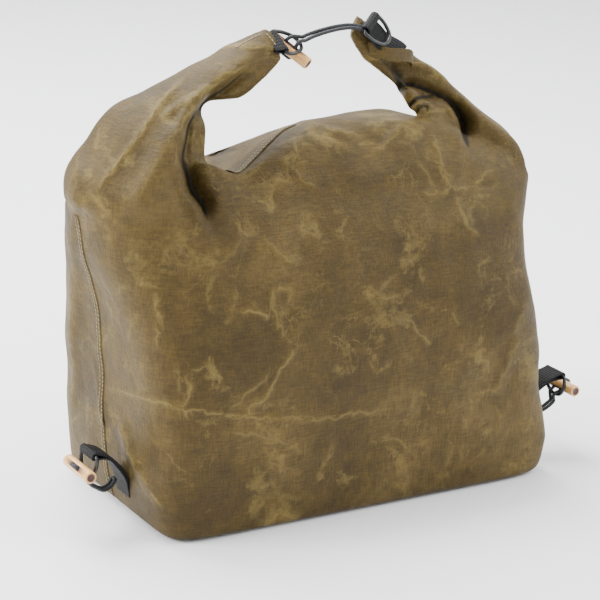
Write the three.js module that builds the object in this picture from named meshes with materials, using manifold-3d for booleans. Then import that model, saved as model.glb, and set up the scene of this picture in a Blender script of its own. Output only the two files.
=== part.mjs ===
// Roll-top waxed canvas pannier bag. Millimetres, +Z up, +X to the bag's right, +Y to its back.
// The origin is on the floor, under the middle of the bag and its two lower hooks.
import * as THREE from "three";
import { mergeVertices } from "three/addons/utils/BufferGeometryUtils.js";
import Module from "manifold-3d";

const wasm = await Module();
wasm.setup();

// ---- driving dimensions ----
const CANVAS = 2.4; // wall: canvas, lining and seam allowance together
const GAP = 0.3; // clearance between pieces that touch
const BASE_THICKNESS = 2.6;

// Outline of the filled body, level by level: how far it reaches to the left and right of the
// middle, its half depth, and how square its plan is.
const BODY_LEVELS = [
  { z: BASE_THICKNESS + GAP, left: 173, right: 173, depth: 96, square: 6 },
  { z: 30, left: 178, right: 175, depth: 98, square: 6 },
  { z: 80, left: 187, right: 177, depth: 100, square: 5 },
  { z: 130, left: 194, right: 178, depth: 100, square: 4.5 },
  { z: 180, left: 202, right: 186, depth: 96, square: 4 },
  { z: 220, left: 208, right: 197, depth: 82, square: 3.8 },
  { z: 245, left: 211, right: 198, depth: 66, square: 3.6 },
  { z: 262, left: 212, right: 190, depth: 50, square: 3.6 },
];
const SHOULDER_Z = 262; // level of the axis that the carry loop tips about
const HALF_SEGMENTS = 20;

const SEAM_WIDTH = 14;
const SEAM_THICKNESS = 1.4;
const SEAM_TOP_Z = 236;

const MOUTH_LEFT_X = -99;
const MOUTH_RIGHT_X = 91;
const MOUTH_HALF_DEPTH = 46;
const MOUTH_TOP_Z = 290;
const HEM_THICKNESS = 1.2;
const HEM_FRONT_Y = 6;
const HEM_BACK_Y = 28;

// D-rings for 25 mm webbing
const WIRE_RADIUS = 1.5;
const RING_HALF_WIDTH = 13.5;
const RING_DEPTH = 20;
const WEBBING_WIDTH = 22;
const WEBBING_THICKNESS = 3.2; // two layers sewn together
const FOLD_RADIUS = 3.5;
const BAR_HOLE_RADIUS = 1.9;

// Dowel toggles on doubled shock cord
const TOGGLE_LENGTH = 40;
const TOGGLE_RADIUS = 4.75;
const TOGGLE_CHAMFER = 0.8;
const HOLE_SPACING = 9;
const HOLE_RADIUS = 2;
const CORD_RADIUS = 1.5;
const TOGGLE_REACH = 13; // ring bar to toggle axis, along the ring
const TOGGLE_DROP = 6.75; // ring plane to toggle axis
const CORD_LIFT = 3.4; // ring plane to the strands that cross over its bow
const BIGHT_REACH = 22.2; // ring bar to the ends of the bight

// ---- finishes ----
const finish = (color, roughness, metalness = 0) =>
  new THREE.MeshStandardMaterial({ color, roughness, metalness });
const waxedCanvas = finish(0x8a7548, 0.75);
const hemTape = finish(0x7d6a42, 0.8);
const webbing = finish(0x1e1f21, 0.85);
const coatedWire = finish(0x1b1b1d, 0.35, 0.6);
const shockCord = finish(0x26282b, 0.8);
const birch = finish(0xe6b982, 0.55);

const bag = new THREE.Group();

function addPiece(name, geometry, material, parent = bag) {
  const mesh = new THREE.Mesh(geometry, material);
  mesh.name = name;
  parent.add(mesh);
}

// ---- solids ----
const point = (x, y, z) => new THREE.Vector3(x, y, z);

function toManifold(geometry) {
  const bare = geometry.clone();
  bare.deleteAttribute("normal");
  bare.deleteAttribute("uv");
  const merged = mergeVertices(bare, 1e-4);
  const index = merged.index.array;
  const triangles = [];
  for (let i = 0; i < index.length; i += 3) {
    const [a, b, c] = [index[i], index[i + 1], index[i + 2]];
    if (a !== b && b !== c && c !== a) triangles.push(a, b, c);
  }
  const vertProperties = new Float32Array(merged.attributes.position.array);
  const triVerts = new Uint32Array(triangles);
  return new wasm.Manifold(new wasm.Mesh({ numProp: 3, vertProperties, triVerts }));
}

function fromManifold(solid) {
  const mesh = solid.getMesh();
  const geometry = new THREE.BufferGeometry();
  geometry.setAttribute("position", new THREE.BufferAttribute(mesh.vertProperties, 3));
  geometry.setIndex(new THREE.BufferAttribute(mesh.triVerts, 1));
  return geometry;
}

// A closed solid between two grids of points that have the same rows and columns.
function slab(faceRows, backRows) {
  const rows = faceRows.length;
  const columns = faceRows[0].length;
  const positions = [...faceRows.flat(), ...backRows.flat()].flatMap((p) => [p.x, p.y, p.z]);
  const face = (row, column) => row * columns + column;
  const back = (row, column) => rows * columns + face(row, column);
  const index = [];
  const quad = (a, b, c, d) => index.push(a, b, c, a, c, d);
  for (let r = 0; r < rows - 1; r++) {
    for (let c = 0; c < columns - 1; c++) {
      quad(face(r, c), face(r, c + 1), face(r + 1, c + 1), face(r + 1, c));
      quad(back(r, c), back(r + 1, c), back(r + 1, c + 1), back(r, c + 1));
    }
    quad(face(r, 0), face(r + 1, 0), back(r + 1, 0), back(r, 0));
    quad(face(r, columns - 1), back(r, columns - 1), back(r + 1, columns - 1), face(r + 1, columns - 1));
  }
  for (let c = 0; c < columns - 1; c++) {
    quad(face(0, c), back(0, c), back(0, c + 1), face(0, c + 1));
    quad(face(rows - 1, c), face(rows - 1, c + 1), back(rows - 1, c + 1), back(rows - 1, c));
  }
  const geometry = new THREE.BufferGeometry();
  geometry.setAttribute("position", new THREE.Float32BufferAttribute(positions, 3));
  geometry.setIndex(signedVolume(positions, index) < 0 ? index.reverse() : index);
  return geometry;
}

function signedVolume(positions, index) {
  const corner = (i) => new THREE.Vector3().fromArray(positions, 3 * index[i]);
  let volume = 0;
  for (let i = 0; i < index.length; i += 3) {
    volume += corner(i).dot(corner(i + 1).cross(corner(i + 2))) / 6;
  }
  return volume;
}

// A soft limb through stations: a centre, the half width of its section, and its half thickness
// as a vector. The section is a flattened oval.
function limb(stations, columns = 12, squareness = 2.6, edge = 0.14) {
  const rowsOnSide = (side) =>
    stations.map(({ centre, width, thickness }) =>
      Array.from({ length: columns + 1 }, (_, i) => {
        const across = -Math.cos((Math.PI * i) / columns);
        const full = 1 - Math.abs(across) ** squareness;
        const bulge = Math.max(full, 0) ** (1 / squareness);
        const height = side * (edge + (1 - edge) * bulge);
        return centre.clone().addScaledVector(width, across).addScaledVector(thickness, height);
      }),
    );
  return slab(rowsOnSide(1), rowsOnSide(-1));
}

// A flat strip of webbing: centres and the directions of its width, one for each.
function strip(centres, widthDirections, width, thickness) {
  const path = new THREE.CatmullRomCurve3(centres);
  const last = centres.length - 1;
  const rowsOnSide = (side) =>
    centres.map((centre, i) => {
      const across = widthDirections[i].clone().normalize();
      const along = path.getTangent(i / last);
      const normal = new THREE.Vector3().crossVectors(along, across).normalize();
      return [-0.5, 0.5].map((end) =>
        centre
          .clone()
          .addScaledVector(across, end * width)
          .addScaledVector(normal, (side * thickness) / 2),
      );
    });
  return slab(rowsOnSide(1), rowsOnSide(-1));
}

function cordTube(points, steps) {
  const outline = new THREE.Shape(
    Array.from({ length: 8 }, (_, i) => {
      const angle = (i * Math.PI) / 4;
      return new THREE.Vector2(CORD_RADIUS * Math.cos(angle), CORD_RADIUS * Math.sin(angle));
    }),
  );
  const extrudePath = new THREE.CatmullRomCurve3(points, false, "centripetal");
  return new THREE.ExtrudeGeometry(outline, { steps, extrudePath });
}

// ---- body ----
function sectionAt(level, angle, inset) {
  const middle = (level.right - level.left) / 2;
  const halfWidth = (level.right + level.left) / 2 - inset;
  const halfDepth = level.depth - inset;
  const rounded = (value) => Math.sign(value) * Math.abs(value) ** (2 / level.square);
  return point(
    middle + halfWidth * rounded(Math.cos(angle)),
    halfDepth * rounded(Math.sin(angle)),
    level.z,
  );
}

// Half of the body's wall, from side seam to side seam, on the front (-1) or the back (1).
function bodyPanel(side) {
  const rowsAtInset = (inset) =>
    BODY_LEVELS.map((level) =>
      Array.from({ length: HALF_SEGMENTS + 1 }, (_, i) => {
        const spot = sectionAt(level, (side * Math.PI * i) / HALF_SEGMENTS, inset);
        spot.y = side * Math.max(Math.abs(spot.y), GAP / 2);
        return spot;
      }),
    );
  return slab(rowsAtInset(0), rowsAtInset(CANVAS));
}

// Binding tape inside the wall, up the middle of the left (-1) or the right (1) side.
function seamBinding(side) {
  const levels = BODY_LEVELS.filter((level) => level.z < SEAM_TOP_Z);
  const rowsAtInset = (inset) =>
    levels.map((level) => {
      const middle = (level.right - level.left) / 2;
      const reach = (level.right + level.left) / 2 - inset;
      return [-0.5, 0, 0.5].map((end) => point(middle + side * reach, end * SEAM_WIDTH, level.z));
    });
  const outer = CANVAS + 2 * GAP;
  return slab(rowsAtInset(outer), rowsAtInset(outer + SEAM_THICKNESS));
}

function basePanel() {
  const level = BODY_LEVELS[0];
  const outline = Array.from({ length: 2 * HALF_SEGMENTS }, (_, i) => {
    const spot = sectionAt(level, (Math.PI * i) / HALF_SEGMENTS, 0);
    return new THREE.Vector2(spot.x, spot.y);
  });
  return new THREE.ExtrudeGeometry(new THREE.Shape(outline), { depth: BASE_THICKNESS, bevelEnabled: false });
}

addPiece("base_panel", basePanel(), waxedCanvas);
addPiece("front_panel", bodyPanel(-1), waxedCanvas);
addPiece("back_panel", bodyPanel(1), waxedCanvas);
addPiece("left_side_seam", seamBinding(-1), hemTape);
addPiece("right_side_seam", seamBinding(1), hemTape);

// ---- rolled mouth between the arms, and the hem on it ----
function mouthTop(y) {
  const rise = MOUTH_TOP_Z - SHOULDER_Z - GAP - 2;
  return SHOULDER_Z + GAP + 2 + rise * Math.sqrt(1 - (y / MOUTH_HALF_DEPTH) ** 2);
}

function acrossMouth(fromX, toX, fromY, toY, rows, columns, height) {
  return Array.from({ length: rows + 1 }, (_, r) =>
    Array.from({ length: columns + 1 }, (_, c) => {
      const y = fromY + ((toY - fromY) * c) / columns;
      return point(fromX + ((toX - fromX) * r) / rows, y, height(y));
    }),
  );
}

const mouthArea = [MOUTH_LEFT_X, MOUTH_RIGHT_X, -MOUTH_HALF_DEPTH, MOUTH_HALF_DEPTH, 4, 12];
addPiece(
  "rolled_mouth",
  slab(acrossMouth(...mouthArea, mouthTop), acrossMouth(...mouthArea, () => SHOULDER_Z + GAP)),
  waxedCanvas,
);
const hemArea = [MOUTH_LEFT_X + 4, MOUTH_RIGHT_X - 4, HEM_FRONT_Y, HEM_BACK_Y, 4, 4];
addPiece(
  "mouth_hem",
  slab(
    acrossMouth(...hemArea, (y) => mouthTop(y) + 1 + HEM_THICKNESS),
    acrossMouth(...hemArea, (y) => mouthTop(y) + 1),
  ),
  hemTape,
);

// ---- hooks: a D-ring in a webbing fold, and a toggle on doubled cord behind the ring ----
// In a hook's own frame the ring's bar lies along X through the origin and the ring reaches
// along Y. The toggle lies on the -Z side, and the strands cross the bow on the +Z side.
function hookFrame(barCentre, barDirection, reachDirection) {
  const x = barDirection.clone().normalize();
  const y = reachDirection.clone().addScaledVector(x, -reachDirection.dot(x)).normalize();
  const z = new THREE.Vector3().crossVectors(x, y);
  const frame = new THREE.Group();
  frame.matrixAutoUpdate = false;
  frame.matrix.makeBasis(x, y, z).setPosition(barCentre);
  frame.place = (px, py, pz) => point(px, py, pz).applyMatrix4(frame.matrix);
  frame.direction = (px, py, pz) => point(px, py, pz).transformDirection(frame.matrix);
  bag.add(frame);
  return frame;
}

function dRing() {
  const corner = 3;
  const outline = new THREE.Path();
  outline.moveTo(-RING_HALF_WIDTH + corner, 0);
  outline.lineTo(RING_HALF_WIDTH - corner, 0);
  outline.quadraticCurveTo(RING_HALF_WIDTH, 0, RING_HALF_WIDTH, corner);
  outline.bezierCurveTo(RING_HALF_WIDTH, 13, 8, RING_DEPTH, 0, RING_DEPTH);
  outline.bezierCurveTo(-8, RING_DEPTH, -RING_HALF_WIDTH, 13, -RING_HALF_WIDTH, corner);
  outline.quadraticCurveTo(-RING_HALF_WIDTH, 0, -RING_HALF_WIDTH + corner, 0);
  const spots = outline.getSpacedPoints(32).slice(0, -1).map((p) => point(p.x, p.y, 0));
  const path = new THREE.CatmullRomCurve3(spots, true, "centripetal");
  return new THREE.TubeGeometry(path, 32, WIRE_RADIUS, 8, true);
}

function roundBar(radius, length, sides) {
  return new THREE.CylinderGeometry(radius, radius, length, sides).rotateZ(Math.PI / 2);
}

// The webbing's fold round the ring's bar joined to its strip, in the bag's frame.
function webbingTab(frame, centres, widthDirections) {
  const fold = toManifold(roundBar(FOLD_RADIUS, WEBBING_WIDTH, 16).applyMatrix4(frame.matrix));
  const tail = toManifold(strip(centres, widthDirections, WEBBING_WIDTH, WEBBING_THICKNESS));
  const barHole = roundBar(BAR_HOLE_RADIUS, 2 * WEBBING_WIDTH, 12).applyMatrix4(frame.matrix);
  return fromManifold(fold.add(tail).subtract(toManifold(barHole)));
}

function toggle() {
  const half = TOGGLE_LENGTH / 2;
  const profile = [
    [0, -half],
    [TOGGLE_RADIUS - TOGGLE_CHAMFER, -half],
    [TOGGLE_RADIUS, -half + TOGGLE_CHAMFER],
    [TOGGLE_RADIUS, half - TOGGLE_CHAMFER],
    [TOGGLE_RADIUS - TOGGLE_CHAMFER, half],
    [0, half],
  ].map(([radius, along]) => new THREE.Vector2(radius, along));
  let solid = toManifold(new THREE.LatheGeometry(profile, 20).rotateZ(Math.PI / 2));
  for (const side of [-1, 1]) {
    const hole = new THREE.CylinderGeometry(HOLE_RADIUS, HOLE_RADIUS, 4 * TOGGLE_RADIUS, 12);
    hole.rotateX(Math.PI / 2).translate((side * HOLE_SPACING) / 2, 0, 0);
    solid = solid.subtract(toManifold(hole));
  }
  return fromManifold(solid);
}

// The cord's bight: over the ring's bow, down through it, through the toggle and back.
function bightPoints(turn) {
  const under = -TOGGLE_DROP - TOGGLE_RADIUS - CORD_RADIUS - GAP;
  const holeSpot = (side, height) => {
    const across = (side * HOLE_SPACING) / 2;
    return point(across * Math.cos(turn), TOGGLE_REACH + across * Math.sin(turn), height);
  };
  const strand = (side) => [
    point(side * 2.2, BIGHT_REACH, CORD_LIFT),
    point(side * 2.6, BIGHT_REACH - 3, CORD_LIFT),
    holeSpot(side, CORD_LIFT - 0.4).lerp(point(side * 2.8, BIGHT_REACH - 5, CORD_LIFT), 0.25),
    holeSpot(side, 1),
    holeSpot(side, -2),
    holeSpot(side, -TOGGLE_DROP),
    holeSpot(side, -TOGGLE_DROP - TOGGLE_RADIUS + 0.4),
  ];
  const middle = holeSpot(0, under);
  const bend = (side) => holeSpot(side, under + 0.1).lerp(middle, 0.3);
  return [...strand(-1), bend(-1), middle, bend(1), ...strand(1).reverse()];
}

function addHook(name, frame, turn) {
  addPiece(name + "_ring", dRing(), coatedWire, frame);
  const seat = new THREE.Group();
  seat.position.set(0, TOGGLE_REACH, -TOGGLE_DROP);
  seat.rotation.z = turn;
  frame.add(seat);
  addPiece(name + "_toggle", toggle(), birch, seat);
  addPiece(name + "_cord_bight", cordTube(bightPoints(turn), 30), shockCord, frame);
}

// ---- carry loop: the two arms of the roll, clipped end to end ----
const leftEnd = hookFrame(point(-42, 0, 358.8), point(0.069, -0.864, -0.497), point(0.988, 0.14, -0.058));
const rightEnd = hookFrame(point(36.1, -8, 370.8), point(-0.743, -0.542, -0.393), point(0.616, -0.387, -0.685));
const ARM_TIP_BACK = 9.3; // left ring's bar to the end of the left arm

const station = (centre, width, thickness) => ({
  centre: point(...centre),
  width: point(...width),
  thickness: point(...thickness),
});
const leftTip = {
  centre: leftEnd.place(0, -ARM_TIP_BACK, 0),
  width: leftEnd.direction(-1, 0, 0).multiplyScalar(14),
  thickness: leftEnd.direction(0, 0, -1).multiplyScalar(3.5),
};
const LEFT_ARM = [
  station([-147, 0, 241], [0, 33, 0], [42, 0, 0]),
  station([-147, 0, 252], [0, 36, 0], [43, 0, 0]),
  station([-147, 0, 262], [0, 38, 0], [43, 0, 0]),
  station([-153, 0, 281], [0, 38, 0], [51, 0, -2]),
  station([-145, 0, 301], [0, 34, 2], [41, 0, -7]),
  station([-125, 0, 322], [0, 25, 6], [22, 0, -14]),
  station([-104, 0, 335], [0, 18, 9], [7, 0, -12]),
  station([-80, 0, 346], [0, 15, 9], [2, 2, -7]),
  leftTip,
];
const rightTip = {
  centre: rightEnd.place(0, -9, -9.5),
  width: rightEnd.direction(-1, 0, 0).multiplyScalar(11.5),
  thickness: rightEnd.direction(0, 0, -1).multiplyScalar(3.5),
};
const rightNeck = {
  centre: rightEnd.place(0, 12, -9.5),
  width: rightEnd.direction(-1, 0, 0).multiplyScalar(12.5),
  thickness: rightEnd.direction(0, 0, -1).multiplyScalar(3.8),
};
const RIGHT_ARM = [
  station([134, 0, 241], [0, 34, 0], [-36, 0, 0]),
  station([134, 0, 252], [0, 37, 0], [-37, 0, 0]),
  station([134, 0, 262], [0, 38, 0], [-37, 0, 0]),
  station([131, 0, 281], [0, 38, 0], [-37, 0, -3]),
  station([118, 0, 298], [0, 32, 2], [-19, 0, -7]),
  station([96, 0, 316], [3, 22, 4], [-12, 0, -11]),
  station([74, 0, 333], [8, 15, 6], [-5, 3, -7]),
  rightNeck,
  rightTip,
];
addPiece("left_arm", limb(LEFT_ARM), waxedCanvas);
addPiece("right_arm", limb(RIGHT_ARM), waxedCanvas);

const leftTail = [-1.5, -5, -ARM_TIP_BACK + GAP].map((reach) => leftEnd.place(0, reach, 0));
addPiece("left_end_tab", webbingTab(leftEnd, leftTail, leftTail.map(() => leftEnd.direction(1, 0, 0))), webbing);
const rightTail = [
  [-1, -1.6],
  [4, -3.2],
  [10, -3.6],
  [24, -3.6],
].map(([reach, height]) => rightEnd.place(0, reach, height));
addPiece("right_end_tab", webbingTab(rightEnd, rightTail, rightTail.map(() => rightEnd.direction(1, 0, 0))), webbing);
addPiece("right_end_ring", dRing(), coatedWire, rightEnd);

const CLOSURE_TURN = THREE.MathUtils.degToRad(24);
addHook("closure", leftEnd, CLOSURE_TURN);

// Doubled cord runs from the bow of a ring to a tab, where it turns back.
const cordStart = (frame, side) =>
  [BIGHT_REACH + 0.8, BIGHT_REACH + 3].map((reach) => frame.place(side * 2.2, reach, CORD_LIFT));
const CLOSURE_STRAND = [
  [[-12, -0.2, 363], 2],
  [[-1.5, -2.5, 366.2], 1.8],
  [[9, -5, 368], 1.8],
  [[18, -7.5, 369], 2],
];
const cordSpot = ([centre, spread], side) => point(...centre).addScaledVector(leftEnd.direction(1, 0, 0), side * spread);
const cordTurn = [
  [4.2, -7.8],
  [4.6, -5.6],
  [6.6, -4.9],
  [8.6, -5.6],
  [9, -7.8],
].map(([across, reach]) => rightEnd.place(across, reach, -1.6));
const closureCord = [
  ...cordStart(leftEnd, -1),
  ...CLOSURE_STRAND.map((spot) => cordSpot(spot, -1)),
  ...cordTurn,
  ...CLOSURE_STRAND.map((spot) => cordSpot(spot, 1)).reverse(),
  ...cordStart(leftEnd, 1).reverse(),
];
addPiece("closure_cord", cordTube(closureCord, 48), shockCord);

// ---- lower hooks, one on each side, that hold the bag to a rail ----
const HOOK_BAR = { x: 219.5, y: -45, z: 66 };
const LOWER_TAB = [
  [179.4, -24, 12],
  [181, -26, 24],
  [186.5, -31, 38],
  [197, -38, 52],
  [208, -43, 62.5],
  [218, -45, 66],
];
const LOWER_CORD = [
  [214.6, -45, 37.2],
  [208, -44, 33.6],
  [201, -41, 34],
  [196, -38.5, 37.5],
];
for (const [name, side] of [
  ["left_hook", -1],
  ["right_hook", 1],
]) {
  const mirrored = ([x, y, z]) => point(side * x, y, z);
  const barCentre = point(side * HOOK_BAR.x, HOOK_BAR.y, HOOK_BAR.z);
  const frame = hookFrame(barCentre, point(0, side, 0), point(side * 0.12, 0, -0.993));
  const centres = LOWER_TAB.map(mirrored);
  addPiece(name + "_tab", webbingTab(frame, centres, centres.map(() => point(0, side, 0))), webbing);
  addHook(name, frame, 0);
  const strand = (end) => [
    ...cordStart(frame, end),
    ...LOWER_CORD.map((spot) => mirrored(spot).addScaledVector(frame.direction(1, 0, 0), end * 2.4)),
  ];
  addPiece(name + "_cord", cordTube([...strand(-1), ...strand(1).reverse()], 30), shockCord);
}

export default bag;
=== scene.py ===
import math

import bpy
import numpy as np
from mathutils import Matrix, Vector, noise
from mathutils.bvhtree import BVHTree
from mathutils.kdtree import KDTree


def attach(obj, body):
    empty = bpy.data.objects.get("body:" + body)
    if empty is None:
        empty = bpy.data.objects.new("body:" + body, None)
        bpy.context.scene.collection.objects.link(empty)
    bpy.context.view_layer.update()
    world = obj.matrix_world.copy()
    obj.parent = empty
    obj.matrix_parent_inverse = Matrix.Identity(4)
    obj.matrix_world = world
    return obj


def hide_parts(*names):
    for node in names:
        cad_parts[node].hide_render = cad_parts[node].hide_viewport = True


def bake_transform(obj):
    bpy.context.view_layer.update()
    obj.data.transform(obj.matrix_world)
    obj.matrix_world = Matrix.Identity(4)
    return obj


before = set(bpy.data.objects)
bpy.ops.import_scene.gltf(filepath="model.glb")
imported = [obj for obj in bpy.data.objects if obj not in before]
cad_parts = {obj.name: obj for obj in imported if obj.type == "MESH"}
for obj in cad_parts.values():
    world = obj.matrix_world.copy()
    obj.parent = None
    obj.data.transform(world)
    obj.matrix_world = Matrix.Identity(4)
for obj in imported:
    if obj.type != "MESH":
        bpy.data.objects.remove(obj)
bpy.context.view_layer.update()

MM = 0.001


# ---- camera ----
CAMERA_PLACE = Vector((-0.8561, -1.3681, 0.6543))
CAMERA_YAW = math.radians(31.667)  # 0 looks along +Y
CAMERA_PITCH = math.radians(17.518)  # downwards
CAMERA_ROLL = math.radians(2.582)
CAMERA_LENS = 125.25

forward = Vector((
    math.sin(CAMERA_YAW) * math.cos(CAMERA_PITCH),
    math.cos(CAMERA_YAW) * math.cos(CAMERA_PITCH),
    -math.sin(CAMERA_PITCH),
))
level_right = Vector((math.cos(CAMERA_YAW), -math.sin(CAMERA_YAW), 0))
level_up = level_right.cross(forward)
side_axis = level_right * math.cos(CAMERA_ROLL) + level_up * math.sin(CAMERA_ROLL)
up_axis = level_up * math.cos(CAMERA_ROLL) - level_right * math.sin(CAMERA_ROLL)

bpy.ops.object.select_all(action="DESELECT")
bpy.ops.object.camera_add(location=CAMERA_PLACE)
camera = bpy.context.active_object
camera_turn = Matrix((side_axis, up_axis, -forward)).transposed().to_4x4()
camera.matrix_world = Matrix.Translation(CAMERA_PLACE) @ camera_turn
camera.data.lens = CAMERA_LENS
camera.data.sensor_width = 36
camera.data.clip_end = 20
camera.data.dof.use_dof = False
bpy.context.scene.camera = camera
SIGHT = np.array(forward)


# ---- small tools ----
def linear(hex_colour):
    """An sRGB hex colour as linear RGBA."""
    parts = [int(hex_colour[i:i + 2], 16) / 255 for i in (1, 3, 5)]
    return [c / 12.92 if c <= 0.04045 else ((c + 0.055) / 1.055) ** 2.4 for c in parts] + [1]


class Finish:
    """A material, a way to add a node to it, and short forms of that for the common nodes."""

    def __init__(self, name):
        self.material = bpy.data.materials.new(name)
        self.material.use_nodes = True
        self.surface = self.material.node_tree.nodes["Principled BSDF"]

    def node(self, kind, links=(), **settings):
        """links are (input, source socket or value) pairs."""
        node = self.material.node_tree.nodes.new(kind)
        for key, value in settings.items():
            setattr(node, key, value)
        self.join(node, links)
        return node

    def join(self, node, links):
        for name, source in links:
            if isinstance(source, bpy.types.NodeSocket):
                self.material.node_tree.links.new(source, node.inputs[name])
            else:
                node.inputs[name].default_value = source

    def set(self, *links):
        self.join(self.surface, links)

    def place(self):
        return self.node("ShaderNodeTexCoord").outputs["Object"]

    def kept(self, name, output="Fac"):
        return self.node("ShaderNodeAttribute", attribute_name=name).outputs[output]

    def turned(self, place, **how):
        links = [("Vector", place), *((key.title(), value) for key, value in how.items())]
        return self.node("ShaderNodeMapping", links).outputs["Vector"]

    def noise(self, place, scale, detail=2.0, roughness=0.5, output="Fac"):
        links = [("Vector", place), ("Scale", scale), ("Detail", detail), ("Roughness", roughness)]
        return self.node("ShaderNodeTexNoise", links).outputs[output]

    def bands(self, place, scale, direction, distortion=0.0):
        links = [("Vector", place), ("Scale", scale), ("Distortion", distortion), ("Detail", 1.0)]
        return self.node("ShaderNodeTexWave", links, bands_direction=direction).outputs["Fac"]

    def span(self, value, low, high, to_low=0.0, to_high=1.0, curve="LINEAR"):
        """Carries a value's span, low to high, on to another one."""
        ends = ("From Min", low), ("From Max", high), ("To Min", to_low), ("To Max", to_high)
        links = [("Value", value), *ends]
        return self.node("ShaderNodeMapRange", links, interpolation_type=curve).outputs["Result"]

    def sum(self, operation, *values, kind="Math"):
        return self.node("ShaderNode" + kind, enumerate(values), operation=operation).outputs[0]

    def scaled(self, vector, by):
        links = [(0, vector), ("Scale", by)]
        return self.node("ShaderNodeVectorMath", links, operation="SCALE").outputs[0]

    def mix(self, share, *colours):
        a, b = (linear(c) if isinstance(c, str) else c for c in colours)
        links = [("Factor", share), ("A", a), ("B", b)]
        return self.node("ShaderNodeMix", links, data_type="RGBA").outputs["Result"]

    def ramp(self, value, low, high, tones):
        """Three tones, the middle one at half way."""
        node = self.node("ShaderNodeValToRGB", [("Fac", value)])
        stops = node.color_ramp.elements
        for stop, at, tone in ((stops[0], low, tones[0]), (stops[1], high, tones[2])):
            stop.position = at
            stop.color = linear(tone)
        stops.new(0.5).color = linear(tones[1])
        return node.outputs["Color"]

    def bump(self, height, strength, distance, *under):
        links = [("Height", height), ("Strength", strength), ("Distance", distance)]
        links += [("Normal", normal) for normal in under]
        return self.node("ShaderNodeBump", links).outputs["Normal"]


def mesh_object(name, points, faces, smooth=True):
    mesh = bpy.data.meshes.new(name)
    mesh.from_pydata([tuple(p) for p in points], [], faces)
    mesh.update()
    piece = bpy.data.objects.new(name, mesh)
    bpy.context.collection.objects.link(piece)
    if smooth:
        mesh.shade_smooth()
    return piece


def select_only(piece):
    bpy.ops.object.select_all(action="DESELECT")
    piece.select_set(True)
    bpy.context.view_layer.objects.active = piece


def apply_modifiers(piece):
    select_only(piece)
    for modifier in list(piece.modifiers):
        bpy.ops.object.modifier_apply(modifier=modifier.name)


def points_of(piece):
    flat = np.empty(3 * len(piece.data.vertices))
    piece.data.vertices.foreach_get("co", flat)
    return flat.reshape(-1, 3)


def move_points(piece, points):
    piece.data.vertices.foreach_set("co", points.astype(np.float32).ravel())
    piece.data.update()


def normals_of(piece):
    flat = np.empty(3 * len(piece.data.vertices))
    piece.data.vertices.foreach_get("normal", flat)
    return flat.reshape(-1, 3)


def smoothstep(x):
    x = np.clip(x, 0, 1)
    return x * x * (3 - 2 * x)


def through(rows, count):
    """A smooth run of count rows through the given rows."""
    rows = np.asarray(rows, float)
    padded = np.concatenate([[2 * rows[0] - rows[1]], rows, [2 * rows[-1] - rows[-2]]])
    at = np.linspace(0, len(rows) - 1, count)
    k = np.minimum(at.astype(int), len(rows) - 2)
    t = (at - k).reshape((-1,) + (1,) * (rows.ndim - 1))
    a, b, c, d = padded[k], padded[k + 1], padded[k + 2], padded[k + 3]
    return 0.5 * (2 * b + (c - a) * t + (2 * a - 5 * b + 4 * c - d) * t ** 2 + (3 * b - a - 3 * c + d) * t ** 3)


def around(ring, count):
    """A smooth closed ring of count points through the given ones."""
    ring = np.asarray(ring, float)
    opened = np.concatenate([ring[-2:], ring, ring[:3]])
    run = through(opened, 1 + (len(opened) - 1) * 16)
    closed = run[32:32 + 16 * len(ring) + 1]
    steps = np.linalg.norm(np.diff(closed, axis=0), axis=1)
    along = np.concatenate([[0], np.cumsum(steps)])
    want = np.linspace(0, along[-1], count, endpoint=False)
    return np.stack([np.interp(want, along, closed[:, i]) for i in range(3)], axis=1)


def tube_faces(rings, columns, offset=0):
    """Quads round a run of rings, with both ends closed."""
    faces = []
    for r in range(rings - 1):
        for c in range(columns):
            d = (c + 1) % columns
            a, b = offset + r * columns, offset + (r + 1) * columns
            faces.append((a + c, a + d, b + d, b + c))
    faces.append(tuple(offset + c for c in reversed(range(columns))))
    faces.append(tuple(offset + (rings - 1) * columns + c for c in range(columns)))
    return faces


# ---- canvas: the filled body ----
# Level by level: height, reach to the left and right of the middle, half depth at the front
# and the back, and how square the plan is. Millimetres.
BODY_LEVELS = [
    (0.6, 170, 171, 93, 91, 12),
    (5, 176, 179, 99, 96, 12),
    (30, 182, 185, 101, 98, 11),
    (55, 184, 183, 102, 99, 9),
    (80, 185, 178, 102, 99, 8),
    (105, 186, 179, 102, 99, 7),
    (130, 189, 177, 101, 97, 6),
    (155, 192, 175, 98, 94, 5),
    (180, 197, 173, 92, 89, 4.4),
    (205, 204, 176, 84, 82, 4),
    (225, 207, 184, 76, 74, 3.8),
    (245, 210, 190, 66, 66, 3.7),
]
# The top of the body between the arms: heights over a grid of X (columns) and Y (rows).
TOP_X = [-215, -175, -145, -115, -95, -75, -45, -10, 25, 60, 90, 115, 150, 205]
TOP_Y = [-70, -55, -40, -22, 0, 22, 42, 60, 72]
TOP_HEIGHTS = [
    [242, 243, 243, 243, 243, 244, 246, 247, 247, 247, 246, 245, 243, 240],
    [246, 254, 256, 256, 253, 256, 264, 270, 268, 268, 266, 262, 252, 244],
    [250, 268, 276, 274, 266, 273, 284, 288, 281, 288, 287, 279, 262, 248],
    [254, 276, 276, 266, 260, 272, 290, 295, 291, 293, 291, 284, 268, 250],
    [255, 278, 272, 260, 254, 264, 286, 295, 293, 292, 289, 282, 270, 250],
    [254, 274, 266, 258, 252, 258, 276, 287, 289, 290, 289, 280, 268, 250],
    [250, 266, 260, 258, 259, 264, 272, 279, 283, 288, 287, 273, 258, 248],
    [246, 252, 252, 252, 254, 258, 262, 266, 268, 272, 270, 262, 252, 244],
    [242, 243, 243, 243, 243, 244, 246, 247, 247, 247, 246, 245, 243, 240],
]


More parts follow.
